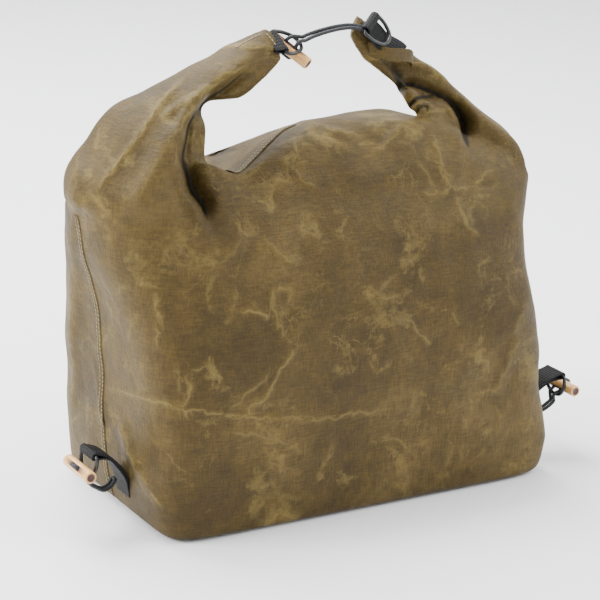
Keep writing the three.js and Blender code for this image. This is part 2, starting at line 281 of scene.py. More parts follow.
def body_rings(columns=144):
    levels = through(BODY_LEVELS, 56)
    angles = np.linspace(0, 2 * np.pi, columns, endpoint=False)
    rings = []
    for z, left, right, front, back, square in levels:
        c, s = np.cos(angles), np.sin(angles)
        x = (right - left) / 2 + (right + left) / 2 * np.sign(c) * np.abs(c) ** (2 / square)
        y = np.where(s < 0, front, back) * np.sign(s) * np.abs(s) ** (2 / square)
        rings.append(np.stack([x, y, np.full(columns, z)], axis=1))
    rim = rings[-1]
    fine = through(through(np.array(TOP_HEIGHTS, float), 73).T, 105).T
    grid_x = through(np.array(TOP_X, float)[:, None], 105)[:, 0]
    grid_y = through(np.array(TOP_Y, float)[:, None], 73)[:, 0]
    for shrink in np.linspace(1, 0.02, 40)[1:]:
        x = rim[:, 0] * (0.02 + 0.98 * shrink)
        y = rim[:, 1] * shrink
        column = np.interp(x, grid_x, np.arange(105))
        row = np.interp(y, grid_y, np.arange(73))
        ci, ri = np.minimum(column.astype(int), 103), np.minimum(row.astype(int), 71)
        cf, rf = column - ci, row - ri
        z = (fine[ri, ci] * (1 - cf) * (1 - rf) + fine[ri, ci + 1] * cf * (1 - rf)
             + fine[ri + 1, ci] * (1 - cf) * rf + fine[ri + 1, ci + 1] * cf * rf)
        blend_in = smoothstep((1 - shrink) / 0.12)
        rings.append(np.stack([x, y, rim[:, 2] + (z - rim[:, 2]) * blend_in], axis=1))
    return np.array(rings)


# ---- canvas: the arms, from tip to root ----
# For each station: the back edge, the edge of the roll, the bottom of the groove under it, the
# front edge, and the way and depth to the arm's inner side.
LEFT_ARM = [
    [(-46, 12, 369), (-44, -3, 359), (-44, -6, 355), (-45, -11, 349), (2, 3, -3)],
    [(-60, 14, 364), (-58, -10, 354), (-60, -9, 348), (-57, -13, 341), (3, 5, -5)],
    [(-76, 16, 357.5), (-73, -15, 348), (-77, -11, 339), (-67, -14, 336), (5, 7, -7)],
    [(-94, 17, 349), (-93, -18, 342), (-96, -10, 331), (-84, -13, 325), (7, 9, -7)],
    [(-113, 18, 342), (-110, -20, 334), (-110, -13, 326), (-101, -12, 324), (8, 10, -7)],
    [(-134, 19, 333), (-124, -25, 327), (-120, -18, 321), (-113, -11, 323), (10, 12, -7)],
    [(-153, 20, 324), (-137, -31, 317), (-130, -24, 312), (-118, -11, 315), (12, 14, -7)],
    [(-172, 21, 316), (-148, -38, 306), (-138, -30, 304), (-115, -13, 305), (14, 16, -6)],
    [(-186, 22, 302), (-157, -45, 296), (-146, -38, 292), (-121, -18, 291), (18, 16, -5)],
    [(-198, 20, 285), (-166, -52, 282), (-150, -46, 279), (-130, -30, 278), (20, 16, -4)],
    [(-213, 16, 268), (-174, -58, 264), (-150, -52, 262), (-134, -40, 262), (20, 14, -3)],
    [(-218, 10, 247), (-178, -60, 248), (-150, -56, 250), (-136, -46, 250), (20, 12, -2)],
]
RIGHT_ARM = [
    [(32, 7, 377), (27, 1, 372), (25, -3, 369), (19, -7, 365), (1, 4, -5)],
    [(49, 8, 366), (36, -4, 361), (32, -6, 358), (25, -11, 355), (2, 6, -6)],
    [(70, 9, 352), (50, -7, 346), (45, -6, 341), (39, -12, 343), (3, 8, -7)],
    [(96, 10, 337), (81, -2, 338), (62, 0, 331), (55, -12, 331), (4, 10, -7)],
    [(119, 11, 321), (112, 0, 321), (74, 2, 322), (66, -13, 322), (4, 12, -7)],
    [(136, 12, 308), (126, -6, 306), (88, 0, 314), (71, -16, 313), (4, 13, -7)],
    [(160, 14, 289), (144, -20, 290), (104, -3, 304), (76, -18, 305), (4, 14, -6)],
    [(190, 15, 268), (163, -34, 270), (118, -10, 291), (84, -22, 298), (4, 14, -5)],
    [(199, 14, 246), (174, -42, 252), (126, -20, 275), (92, -26, 286), (2, 12, -4)],
]


def arm_rings(stations, count, bulge, columns=96):
    rings = []
    for back, roll, groove, front, inner in np.array(stations, float):
        out = -inner / np.linalg.norm(inner)
        width = np.linalg.norm(roll - back)
        rings.append(np.array([
            back,
            back * 0.72 + roll * 0.28 + out * width * bulge,
            back * 0.38 + roll * 0.62 + out * width * bulge,
            roll + out * 0.6,
            groove + inner * 0.1,
            (groove + front) / 2 - inner * 0.25,
            front,
            front + inner * 0.85,
            front * 0.6 + back * 0.4 + inner * 1.7,
            front * 0.2 + back * 0.8 + inner * 1.5,
            back + inner * 0.7,
        ]))
    fine = through(np.array(rings), count)
    return np.array([around(ring, columns) for ring in fine])


def canvas_skin():
    points, faces = [], []
    for rings in (body_rings(), arm_rings(LEFT_ARM, 90, 0.16), arm_rings(RIGHT_ARM, 90, 0.1)):
        offset = sum(len(p) for p in points)
        points.append(rings.reshape(-1, 3))
        faces += tube_faces(len(rings), rings.shape[1], offset)
    piece = mesh_object("canvas_skin", np.concatenate(points) * MM, faces)
    select_only(piece)
    bpy.ops.object.mode_set(mode="EDIT")
    bpy.ops.mesh.select_all(action="SELECT")
    bpy.ops.mesh.normals_make_consistent(inside=False)
    bpy.ops.object.mode_set(mode="OBJECT")
    remesh = piece.modifiers.new("merge", "REMESH")
    remesh.mode = "VOXEL"
    remesh.voxel_size = 2.5 * MM
    apply_modifiers(piece)
    piece.data.shade_smooth()
    return piece


skin = canvas_skin()


def relax(piece, times, weight=1.0):
    """Evens out the cloth: each point moves towards the middle of its neighbours."""
    count = len(piece.data.vertices)
    ends = np.empty(2 * len(piece.data.edges), int)
    piece.data.edges.foreach_get("vertices", ends)
    a, b = ends[::2], ends[1::2]
    degree = np.bincount(a, minlength=count) + np.bincount(b, minlength=count)
    points = points_of(piece)
    for _ in range(times):
        total = np.zeros_like(points)
        for axis in range(3):
            total[:, axis] = (np.bincount(a, points[b, axis], count) + np.bincount(b, points[a, axis], count))
        points += (total / degree[:, None] - points) * 0.5 * weight
    move_points(piece, points)


relax(skin, 6)

# ---- canvas: folds and creases ----
# Each deep fold: its line, then at the points of the line its depth, the width of its far side
# and the width of the painted shade in its gap.
FOLDS = [
    # between the left arm's outer layer and its inner one, then down the front as a pleat
    ([(-74, -13, 345), (-96, -12, 330), (-111, -16, 325), (-121, -20, 320), (-132, -26, 312), (-139, -32, 303),
      (-146, -40, 292), (-149, -45, 285), (-148, -50, 276), (-147, -56, 265), (-141, -62, 255), (-137, -68, 242)],
     [2, 7, 9, 10, 11, 12, 14, 16, 19, 22, 18, 4],
     [12, 10, 9, 9, 9, 10, 12, 14, 18, 20, 18, 14],
     [1.2, 1.6, 1.8, 2.2, 2.6, 2.6, 2.4, 2.8, 4.5, 6.0, 4.5, 1.2]),
    # under the right arm's outer layer, round the gathered root
    ([(66, -10, 316), (73, -12, 320), (89, -15, 315), (106, -17, 307), (115, -19, 299), (120, -22, 288),
      (122, -24, 277), (124, -30, 266)],
     [6, 10, 9, 10, 16, 18, 12, 2],
     [6, 7, 7, 8, 12, 14, 14, 10],
     [2.5, 3.5, 3, 4, 6.5, 7, 5, 1.5]),
    # the curl at the right root
    ([(71, -20, 299), (71, -20, 304), (77, -19, 309), (87, -18, 310), (97, -18, 308)],
     [5, 7, 7, 6, 2],
     [5, 5, 5, 6, 6],
     [2.5, 3, 3, 3, 2]),
    ([(75, -24, 299), (77, -24, 303), (83, -24, 304), (84, -24, 300)],
     [4, 5, 5, 3],
     [3, 3, 3, 3],
     [1.5, 2, 2, 1.5]),
    # the hollow down the right arm's face
    ([(57, -6, 340), (60, -7, 330), (64, -9, 322), (67, -10, 314)],
     [1, 4, 6, 6],
     [6, 7, 7, 6],
     [3, 6, 7, 6]),
    # the hollow at the back of the mouth, behind the hem, with painted shade in it
    ([(-92, 15, 270), (-87, 15, 270), (-81, 15, 271), (-73, 15, 272), (-66, 15, 273)],
     [3, 5, 5, 4, 2],
     [8, 10, 10, 9, 8],
     [3, 6, 7, 5, 2]),
]
# Each crease: its line, half width, height, and how pale it is painted along its ridge: partly wax rubbed pale,
# partly a painted highlight.
CREASES = [
    ([(-73, -16, 347), (-93, -18, 342), (-114, -20, 332), (-123, -24, 327), (-143, -34, 311), (-157, -44, 301)],
     2.6, 1.6, 0.9),
    ([(-111, 10, 340), (-139, 0, 322), (-172, -20, 299), (-194, -30, 282), (-217, -30, 257)], 2.6, 1.7, 0.75),
    ([(-120, -22, 330), (-138, -26, 324), (-149, -30, 320), (-160, -34, 315)], 2.6, 1.2, 0.6),
    ([(-146, -40, 313), (-159, -46, 302), (-172, -53, 286), (-187, -60, 270), (-202, -66, 254)], 9, 3.4, 0.25),
    ([(-103, 6, 352), (-85, 4, 357), (-68, 3, 357), (-56, 2, 356), (-48, 0, 353)], 2.6, 1.0, 0.8),
    ([(-58, -2, 357), (-51, -5, 356), (-46, -8, 353)], 2.2, 1.2, 0.5),
    ([(-66, -6, 348), (-55, -7, 350), (-46, -8, 353)], 2.2, -1.5, 0.2),
    ([(-198, 10, 296), (-201, 20, 275), (-199, 30, 241), (-196, 40, 199), (-187, 50, 154), (-184, 60, 101)],
     5, 1.6, 0.35),
    ([(-143, -38, 289), (-143, -42, 283), (-132, -42, 280), (-121, -42, 276), (-110, -42, 270), (-96, -40, 266),
      (-84, -38, 269), (-70, -34, 275), (-55, -30, 282)], 3, 2.0, 0.45),
    ([(-39, -30, 296), (-24, -33, 297), (-5, -37, 292), (19, -40, 287)], 3.4, 1.6, 0.6),
    ([(14, -48, 278), (29, -44, 278), (38, -39, 282), (49, -34, 288), (64, -30, 289)], 3.4, 1.8, 0.55),
    ([(-29, -4, 294), (-17, -11, 295), (-3, -19, 290), (6, -26, 288)], 3, 1.4, 0.6),
    ([(-67, -45, 282), (-61, -57, 275), (-55, -68, 267), (-50, -80, 262)], 3, 1.0, 0.4),
    ([(24, -10, 347), (40, -8, 343), (62, -5, 341), (78, -3, 337), (98, -1, 330), (115, 2, 319), (122, 4, 313)],
     2.6, 2.2, 0.9),
    ([(77, -26, 296), (88, -26, 300), (101, -26, 300), (105, -26, 302)], 2.6, 1.6, 0.5),
    ([(62, -60, 296), (69, -64, 279), (71, -69, 262), (76, -74, 252), (81, -78, 247)], 3, 0.9, 0.7),
    ([(63, -78, 253), (78, -74, 248), (95, -69, 248), (116, -64, 254), (133, -60, 260)], 3, 1.2, 0.7),
    ([(76, -80, 248), (81, -83, 234), (88, -87, 219), (95, -90, 210)], 3, 1.0, 0.65),
    ([(75, -78, 249), (58, -81, 249), (40, -84, 253)], 3, 0.8, 0.55),
    ([(87, -74, 252), (112, -67, 246), (140, -60, 243)], 4, -1.6, 0.35),
    ([(-95, -101, 93), (-61, -101, 86), (-29, -101, 85), (22, -101, 83)], 2.4, 0.7, 0.6),
    ([(-136, -101, 104), (-119, -101, 115), (-108, -101, 122), (-97, -101, 136)], 2.4, 0.6, 0.55),
    ([(139, -96, 131), (132, -96, 110), (125, -96, 94), (114, -96, 74)], 5, 1.6, 0.4),
    ([(144, -94, 155), (139, -94, 139), (131, -94, 123)], 5, 1.4, 0.35),
    ([(-89, -101, 178), (-83, -101, 185), (-85, -101, 194), (-97, -101, 195), (-99, -101, 184), (-91, -101, 167),
      (-83, -101, 150)], 3, 0.5, 0.6),
    ([(12, -101, 165), (29, -101, 151), (42, -101, 137), (49, -101, 132)], 2.6, 0.6, 0.6),
    ([(-232, -60, 154), (-227, -63, 131), (-224, -67, 112), (-220, -70, 93)], 4, 1.4, 0.4),
    # over the front, where the load pulls and the canvas has been folded small
    ([(-186, -97, 244), (-181, -97, 233), (-169, -97, 220), (-156, -97, 215), (-141, -97, 219), (-127, -97, 233),
      (-121, -97, 243)], 6, 2.4, 0.3),
    ([(-237, -101, 140), (-218, -101, 133), (-193, -101, 122), (-170, -101, 113), (-148, -101, 106),
      (-115, -101, 97), (-71, -101, 90), (-43, -101, 88)], 2.8, 1.3, 0.75),
    ([(-130, -101, 90), (-115, -101, 102), (-100, -101, 113), (-91, -101, 130), (-79, -101, 142), (-69, -101, 149)],
     2.8, 1.1, 0.7),
    ([(-173, -101, 142), (-164, -101, 129), (-170, -101, 116), (-166, -101, 100)], 3, 0.9, 0.8),
    ([(-170, -101, 140), (-153, -101, 143), (-144, -101, 138), (-146, -101, 131)], 2.8, 0.8, 0.6),
    ([(-222, -101, 116), (-218, -101, 99), (-211, -101, 80), (-194, -101, 50), (-182, -101, 33)], 4, 2.8, 0.75),
    ([(-241, -90, 153), (-239, -90, 137), (-225, -90, 112), (-216, -90, 89)], 5, 2.2, 0.45),
    ([(-133, -101, 89), (-114, -101, 82), (-96, -101, 76), (-73, -101, 66)], 2.8, 1.0, 0.55),
    ([(-96, -101, 198), (-97, -101, 186), (-90, -101, 160), (-77, -101, 148)], 2.8, 0.8, 0.5),
    ([(-128, -101, 181), (-116, -101, 181), (-106, -101, 177), (-100, -101, 172)], 3, 0.8, 0.85),
    ([(-66, -101, 21), (-84, -101, 29), (-100, -101, 27)], 3, -1.2, 0.2),
    ([(-202, 30, 194), (-199, 30, 162), (-200, 30, 129), (-197, 30, 96), (-203, 30, 55)], 5, 2.0, 0.5),
    ([(-109, -100, 242), (-98, -100, 226), (-84, -100, 215), (-75, -100, 214)], 3, 1.0, 0.5),
]
MEAN_DISTANCE = 1.7


def sight_plan(points):
    """Where points lie across and up the line of sight, and how deep."""
    offset = points - np.array(CAMERA_PLACE)
    depth = offset @ SIGHT
    across = offset @ np.array(side_axis) / depth * MEAN_DISTANCE
    up = offset @ np.array(up_axis) / depth * MEAN_DISTANCE
    return np.stack([across, up], axis=1), depth


def along_line(line, places, reach):
    """For the places near a line: their index, signed distance from it and how far along they are."""
    low, high = line.min(axis=0) - reach, line.max(axis=0) + reach
    near = np.where(np.all((places > low) & (places < high), axis=1))[0]
    spots = places[near]
    best = np.full(len(near), 1e9)
    signed, along = np.zeros(len(near)), np.zeros(len(near))
    for k in range(len(line) - 1):
        start, step = line[k], line[k + 1] - line[k]
        t = np.clip((spots - start) @ step / max(step @ step, 1e-12), 0, 1)
        off = spots - (start + t[:, None] * step)
        distance = np.linalg.norm(off, axis=1)
        closer = distance < best
        best[closer] = distance[closer]
        along[closer] = ((k + t) / (len(line) - 1))[closer]
        if line.shape[1] == 2:
            signed[closer] = (step[0] * off[:, 1] - step[1] * off[:, 0])[closer]
    keep = best < reach
    return near[keep], best[keep], np.sign(signed[keep]), along[keep]


def fold_canvas(piece):
    """Presses the folds and creases in, and says where each point lies from the nearest of them."""
    points, normals = points_of(piece), normals_of(piece)
    # distance from a crease in mm and how pale it is painted, partly rubbed wax and partly painted highlight;
    # distance into a fold's gap and how much painted shade it gets
    marks = {"crease": np.full(len(points), 9.0), "rub_and_highlight": np.zeros(len(points)),
             "gap": np.full(len(points), -3.0), "dark": np.zeros(len(points))}
    nearest = {"crease": np.full(len(points), 1e9), "gap": np.full(len(points), 1e9)}
    flat, depth = sight_plan(points)
    facing = normals @ SIGHT < 0.2
    for line, depths, widths, shadows in FOLDS:
        line = through(line, 10 * len(line)) * MM
        line_flat, line_depth = sight_plan(line)
        index, distance, side, along = along_line(line_flat, flat, 30 * MM)
        at = along * (len(line) - 1)
        close = facing[index] & (np.abs(depth[index] - np.interp(at, range(len(line)), line_depth)) < 35 * MM)
        index, distance, side, along = index[close], distance[close] / MM, side[close], along[close]
        knots = np.linspace(0, 1, len(depths))
        deep, wide, shadow = (np.interp(along, knots, row) for row in (depths, widths, shadows))
        far = side > 0
        sink = np.where(far, deep * (1 - smoothstep(distance / wide)), deep * np.exp(-((distance / 1.6) ** 2)))
        lip = np.where(far, 0, 0.26 * deep * np.exp(-(((distance - 5) / 4) ** 2)))
        points[index] += (sink - lip)[:, None] * MM * SIGHT
        ends = smoothstep(along / 0.06) * smoothstep((1 - along) / 0.06)
        closest = distance / shadow < nearest["gap"][index]
        index, inward = index[closest], (distance / shadow)[closest]
        nearest["gap"][index] = inward
        marks["gap"][index] = np.where(far[closest], inward, -inward)
        # painted shade in the gap, strongest where the fold is deep
        marks["dark"][index] = (ends * np.clip(deep / 6, 0, 1))[closest] * (1 - smoothstep((inward - 1.6) / 1.2))
    for line, width, height, rub_and_highlight in CREASES:
        line_flat, line_depth = sight_plan(through(line, 8 * len(line)) * MM)
        index, distance, side, along = along_line(line_flat, flat, 3 * width * MM)
        close = facing[index] & (np.abs(depth[index] - line_depth.mean()) < 90 * MM)
        index, distance, side, along = index[close], distance[close] / MM, side[close], along[close]
        fade = smoothstep(along / 0.2) * smoothstep((1 - along) / 0.2)
        points[index] += normals[index] * (np.exp(-((distance / width) ** 2)) * fade * height * MM)[:, None]
        mark_crease(marks, nearest["crease"], index, distance, side, fade * rub_and_highlight * 0.85)
    move_points(piece, points)
    return marks, nearest["crease"]


def mark_crease(marks, nearest, index, distance, side, strength):
    closest = distance < nearest[index]
    index, distance = index[closest], distance[closest]
    nearest[index] = distance
    marks["crease"][index] = np.where(side[closest] < 0, -distance, distance)
    # pale along the crease: rubbed wax, and on the drawn creases a painted highlight too
    marks["rub_and_highlight"][index] = strength[closest] * np.exp(-((distance / 4) ** 2))


def rub_marks(piece, marks, nearest, count, seed):
    """Short curved marks all over, where handling has cracked the wax."""
    random = np.random.default_rng(seed)
    points, normals = points_of(piece), normals_of(piece)
    tree = KDTree(len(points))
    for i, spot in enumerate(points):
        tree.insert(spot, i)
    tree.balance()
    body = np.where((points[:, 2] > 20 * MM))[0]
    for _ in range(count):
        here = points[random.choice(body)]
        normal = normals[tree.find(here)[1]]
        heading = np.cross(normal, random.normal(size=3))
        heading /= np.linalg.norm(heading)
        line = [here]
        turn = random.normal() * 0.35
        for _ in range(random.integers(3, 8)):
            side = np.cross(normal, heading)
            heading = heading + side * (turn + random.normal() * 0.25)
            heading /= np.linalg.norm(heading)
            spot, i, _ = tree.find(line[-1] + heading * random.uniform(4, 9) * MM)
            normal = normals[i]
            line.append(np.array(spot))
        line = through(np.array(line), 4 * len(line))
        width, rub_and_highlight = random.uniform(2.2, 3.2), random.uniform(0.1, 0.6)
        index, distance, _, along = along_line(line, points, 3 * width * MM)
        fade = smoothstep(along / 0.35) * smoothstep((1 - along) / 0.35)
        distance = distance / MM
        sideways = np.broadcast_to(np.cross(normal, heading), (len(index), 3))
        side = np.sign(np.einsum("ij,ij->i", points[index] - line[len(line) // 2], sideways))
        points[index] += normals[index] * (np.exp(-((distance / width) ** 2)) * fade * 0.6 * rub_and_highlight * MM)[:, None]
        mark_crease(marks, nearest, index, distance, side, fade * rub_and_highlight)
    move_points(piece, points)


def sag(piece):
    """Slow swells and hollows of a soft filled bag."""
    points, normals = points_of(piece), normals_of(piece)
    swell = np.array([
        2.2 * noise.noise(Vector(p) * 10) + 1.1 * noise.noise(Vector(p) * 24 + Vector((5, 1, 2)))
        + 0.5 * noise.noise(Vector(p) * 58) - 2.6 * abs(noise.noise(Vector(p) * 13 + Vector((2, 8, 3)))) + 0.6
        for p in points
    ])
    points += normals * (swell * smoothstep(points[:, 2] / (25 * MM)) * MM)[:, None]
    move_points(piece, points)


def keep_values(piece, name, values):
    attribute = piece.data.attributes.new(name, "FLOAT", "POINT")
    attribute.data.foreach_set("value", values.astype(np.float32))


# the shoulders, where the arms leave the body, are drawn smooth
height = points_of(skin)[:, 2:] / MM
relax(skin, 24, np.exp(-(((height - 250) / 13) ** 2)) * 0.8)
sag(skin)
marks, nearest = fold_canvas(skin)
rub_marks(skin, marks, nearest, 150, seed=4)
relax(skin, 1, 0.6)
for name, values in marks.items():
    keep_values(skin, name, values)

# ---- materials ----
# Waxed cotton canvas: plain weave proofed with wax. Dull olive brown, darker where the wax lies
# thick, with pale cracks and rubbed creases, a painted highlight along the drawn crease ridges, painted shade in the
# fold gaps, and a faint bloom where it is seen edge on.
def waxed_look(wax, tones, rub_and_highlight_tone):
    place = wax.place()
    tone = wax.ramp(wax.noise(place, 9.0, 6.0, 0.62), 0.36, 0.66, tones)
    mottle = wax.noise(place, 70.0, 6.0, 0.65)
    # threads are about 0.6 mm apart, drawn half as coarse again so that they show
    threads = [wax.noise(wax.turned(place, scale=s), 1.0) for s in ((880, 880, 110), (110, 110, 880))]
    weave = wax.sum("ADD", *threads)
    gain = wax.sum("MULTIPLY", wax.span(mottle, 0.3, 0.7, 0.8, 1.2), wax.span(weave, 0.72, 1.28, 0.74, 1.26))
    cloth = wax.scaled(tone, gain)
    # cracks in the wax: the edges of wandering cells about 40 mm and 15 mm across, in places only
    wander = wax.scaled(wax.noise(place, 22.0, 5.0, 0.6, "Color"), 0.07)
    wandered = wax.sum("ADD", place, wander, kind="VectorMath")
    pale = []
    for scale, width, patch_scale, high, most in ((24.0, 0.022, 13.0, 0.74, 0.42), (66.0, 0.07, 21.0, 0.76, 0.4)):
        links = [("Vector", wandered), ("Scale", scale)]
        cells = wax.node("ShaderNodeTexVoronoi", links, feature="DISTANCE_TO_EDGE").outputs["Distance"]
        thin = wax.span(cells, 0.0, width, 1.0, 0.0, "SMOOTHSTEP")
        only = wax.span(wax.noise(place, patch_scale, 4.0), 0.6, high, 0.0, most)
        pale.append(wax.sum("MULTIPLY", thin, only))
    # smudges where the wax has gone milky from handling
    pale.append(wax.span(wax.noise(wandered, 26.0, 7.0, 0.7), 0.55, 0.78, 0.0, 0.7))
    # the creases: a thin pale line with a faint halo, broken up by the cloth's grain; partly wax rubbed pale, partly
    # a painted highlight on the ridges
    stray = wax.span(wax.noise(place, 95.0, 3.0), 0.3, 0.7, -2.6, 2.6)
    away = wax.sum("ABSOLUTE", wax.sum("ADD", wax.kept("crease"), stray))
    frayed = wax.sum("ADD", away, wax.span(mottle, 0.3, 0.7, -0.7, 0.7))
    line = wax.span(frayed, 0.0, 1.5, 0.38, 0.0, "SMOOTHSTEP")
    halo = wax.span(frayed, 0.0, 5.0, 0.26, 0.0)
    light = wax.sum("MULTIPLY", wax.sum("ADD", line, halo), wax.kept("rub_and_highlight"))
    for other in pale:
        light = wax.sum("MAXIMUM", light, other)
    rubbed_and_highlit_cloth = wax.mix(light, cloth, rub_and_highlight_tone)
    # painted shade: the gap under a fold's edge is painted near black, from the edge inwards
    gap = wax.kept("gap")
    edge = wax.span(gap, -0.3, 0.15, 0.0, 0.96, "SMOOTHSTEP")
    inside = wax.span(gap, 0.4, 1.3, 1.0, 0.0, "SMOOTHSTEP")
    shade = wax.sum("MULTIPLY", wax.sum("MULTIPLY", edge, inside), wax.kept("dark"))
    crumple = wax.bump(wax.noise(wandered, 75.0, 4.0), 0.45, 0.0022)
    wax.set(
        ("Base Color", wax.mix(shade, rubbed_and_highlit_cloth, "#120E05")),
        ("Roughness", wax.span(mottle, 0.0, 1.0, 0.5, 0.72)),
        ("Normal", wax.bump(weave, 0.6, 0.0005, crumple)),
        ("Specular IOR Level", 0.2), ("Sheen Weight", 0.045), ("Sheen Roughness", 0.4),
        ("Sheen Tint", linear("#E4DCCB")),
    )
    return wax.material


waxed_canvas = waxed_look(Finish("waxed_cotton_canvas"), ("#382B0F", "#433515", "#514220"), "#877540")
skin.data.materials.append(waxed_canvas)
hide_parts("front_panel", "back_panel", "rolled_mouth", "left_arm", "right_arm", "base_panel")
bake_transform(skin)

# ---- finishes of the fittings ----
# Polypropylene webbing: black, ribbed by its woven cords, with a dull plastic gleam on each rib.
# Ribs run along the strap 1.6 mm apart, and the picks cross them 1.1 mm apart.
finish = Finish("polypropylene_webbing")
strap_map = finish.node("ShaderNodeUVMap", uv_map="strap").outputs["UV"]
ribs, picks = finish.bands(strap_map, 98.0, "X", 0.6), finish.bands(strap_map, 145.0, "Y", 0.4)
woven = finish.sum("MULTIPLY", ribs, picks)
finish.set(("Base Color", finish.mix(woven, "#050506", "#17181B")), ("Normal", finish.bump(woven, 0.8, 0.0005)),
           ("Roughness", 0.7), ("Specular IOR Level", 0.25))
black_webbing = finish.material

# Black nylon-coated steel wire: smooth satin coat, a little orange peel, scuffed paler in places.
finish = Finish("nylon_coated_steel_wire")
place = finish.place()
scuffs = finish.noise(place, 420.0, 4.0)
finish.set(("Base Color", finish.mix(finish.span(scuffs, 0.45, 0.7), "#08090A", "#191A1D")),
           ("Roughness", finish.span(scuffs, 0.0, 1.0, 0.22, 0.42)),
           ("Normal", finish.bump(finish.noise(place, 1100.0), 0.2, 0.0002)))
coated_wire = finish.material

# Shock cord: rubber core in a braided polyester sleeve, dark grey, with a diamond braid.
finish = Finish("braided_shock_cord")
sleeve_map = finish.node("ShaderNodeUVMap", uv_map="sleeve").outputs["UV"]
BRAID_LEAN = math.radians(38)
braid = finish.sum("MAXIMUM", *(
    finish.bands(finish.turned(sleeve_map, rotation=(0, 0, lean)), 150.0, "X") for lean in (BRAID_LEAN, -BRAID_LEAN)))
finish.set(("Base Color", finish.mix(braid, "#0B0C0E", "#26282C")), ("Normal", finish.bump(braid, 0.7, 0.0003)),
           ("Roughness", 0.68))
shock_cord = finish.material

# Birch dowel: pale close-grained wood, oiled, with faint streaks along it and scorched holes.
finish = Finish("oiled_birch_dowel")
grain = finish.turned(finish.kept("dowel_place", "Vector"), scale=(60, 900, 900))
streaks = finish.noise(grain, 1.0, 4.0, 0.6)
wood = finish.ramp(streaks, 0.3, 0.72, ("#C28444", "#DAA762", "#EDC88E"))
finish.set(("Base Color", finish.mix(finish.kept("scorch"), wood, "#3A1509")),
           ("Normal", finish.bump(streaks, 0.35, 0.0003)), ("Roughness", 0.45))
birch = finish.material

# Polyester sewing thread: olive tan, twisted, slightly shiny.
finish = Finish("polyester_sewing_thread")
twist = finish.noise(finish.place(), 1500.0)
finish.set(("Base Color", finish.mix(twist, "#6E6244", "#A89C7C")), ("Normal", finish.bump(twist, 0.4, 0.0002)),
           ("Roughness", 0.5))
thread = finish.material


# ---- hooks ----
# In a hook's own frame the ring's bar lies along X through the origin and the ring reaches along
# Y. The toggle lies on the -Z side and the strands cross the bow on the +Z side. Millimetres.
WIRE_RADIUS = 1.5
RING_HALF_WIDTH = 13.5
RING_DEPTH = 20
TOGGLE_LENGTH = 40
TOGGLE_RADIUS = 4.75
HOLE_SPACING = 9
HOLE_RADIUS = 2
CORD_RADIUS = 1.5
TOGGLE_REACH = 13
TOGGLE_DROP = 6.75
CORD_LIFT = 3.4
BIGHT_REACH = 22.2
CLOSURE_TURN = math.radians(24)
LOWER_LEAN = math.radians(-28)


def hook_frame(centre, x, y):
    x, y = Vector(x).normalized(), Vector(y).normalized()
    axes = Matrix((x, y, x.cross(y))).transposed().to_4x4()
    return Matrix.Translation(Vector(centre) * MM) @ axes


LEFT_END = hook_frame((-42, 0, 358.8), (0.06906, -0.86475, -0.497431), (0.990383, 0.119348, -0.069981))
RIGHT_END = hook_frame((36.1, -8, 370.8), (-0.742903, -0.541929, -0.392949), (0.632434, -0.375851, -0.677321))
LEFT_HOOK = hook_frame((-219.5, -45, 66), (0, -1, 0), (-0.119973, 0, -0.992777))
RIGHT_HOOK = hook_frame((219.5, -45, 66), (0, 1, 0), (0.119973, 0, -0.992777))


def spot(frame_matrix, x, y, z):
    return frame_matrix @ (Vector((x, y, z)) * MM)


def ring_bar(frame_matrix):
    """The way a ring's bar lies."""
    return frame_matrix.to_3x3() @ Vector((1, 0, 0))


def settle(piece, matrix):
    """Puts a piece in its place in the bag, with the place in its mesh."""
    piece.data.transform(matrix)
    piece.matrix_world = Matrix.Identity(4)
    piece.data.update()


def first_ring():
    """A D-ring: a bent wire, straight along its bar and bowed to the far side."""
    bpy.ops.object.select_all(action="DESELECT")
    bpy.ops.curve.primitive_bezier_circle_add(radius=RING_HALF_WIDTH * MM)
    ring = bpy.context.active_object
    bpy.ops.object.mode_set(mode="EDIT")
    bpy.ops.curve.select_all(action="SELECT")
    bpy.ops.curve.subdivide(number_cuts=1)
    bpy.ops.object.mode_set(mode="OBJECT")
    corner = 3
    side, deep = RING_HALF_WIDTH, RING_DEPTH
    # point, the handle before it and the handle after it
    shape = [
        ((-side + corner, 0), (-side + corner - 1.6, 0), (-4, 0)),
        ((side - corner, 0), (4, 0), (side - corner + 1.6, 0)),
        ((side, corner), (side, corner - 1.6), (side, corner + 2.4)),
        ((side - 1.1, 10.2), (side - 0.2, 8), (side - 2.2, 12.8)),
        ((7.4, 17.7), (9.6, 16), (5.2, 19.3)),
        ((0, deep), (2.9, deep), (-2.9, deep)),
        ((-7.4, 17.7), (-5.2, 19.3), (-9.6, 16)),
        ((-side + 1.1, 10.2), (-side + 2.2, 12.8), (-side + 0.2, 8)),
        ((-side, corner), (-side, corner + 2.4), (-side, corner - 1.6)),
    ]
    points = ring.data.splines[0].bezier_points
    points.add(len(shape) - len(points))
    for point, (place, before, after) in zip(points, shape):
        point.handle_left_type = point.handle_right_type = "FREE"
        point.co = Vector((*place, 0)) * MM
        point.handle_left = Vector((*before, 0)) * MM
        point.handle_right = Vector((*after, 0)) * MM
    ring.data.resolution_u = 10
    ring.data.bevel_depth = WIRE_RADIUS * MM
    ring.data.bevel_resolution = 5
    select_only(ring)
    bpy.ops.object.convert(target="MESH")
    ring = bpy.context.active_object
    bpy.ops.object.mode_set(mode="EDIT")
    bpy.ops.mesh.select_all(action="SELECT")
    bpy.ops.mesh.remove_doubles(threshold=0.02 * MM)
    bpy.ops.mesh.normals_make_consistent(inside=False)
    bpy.ops.object.mode_set(mode="OBJECT")
    ring.data.shade_smooth()
    ring.data.materials.clear()
    ring.data.materials.append(coated_wire)
    return ring


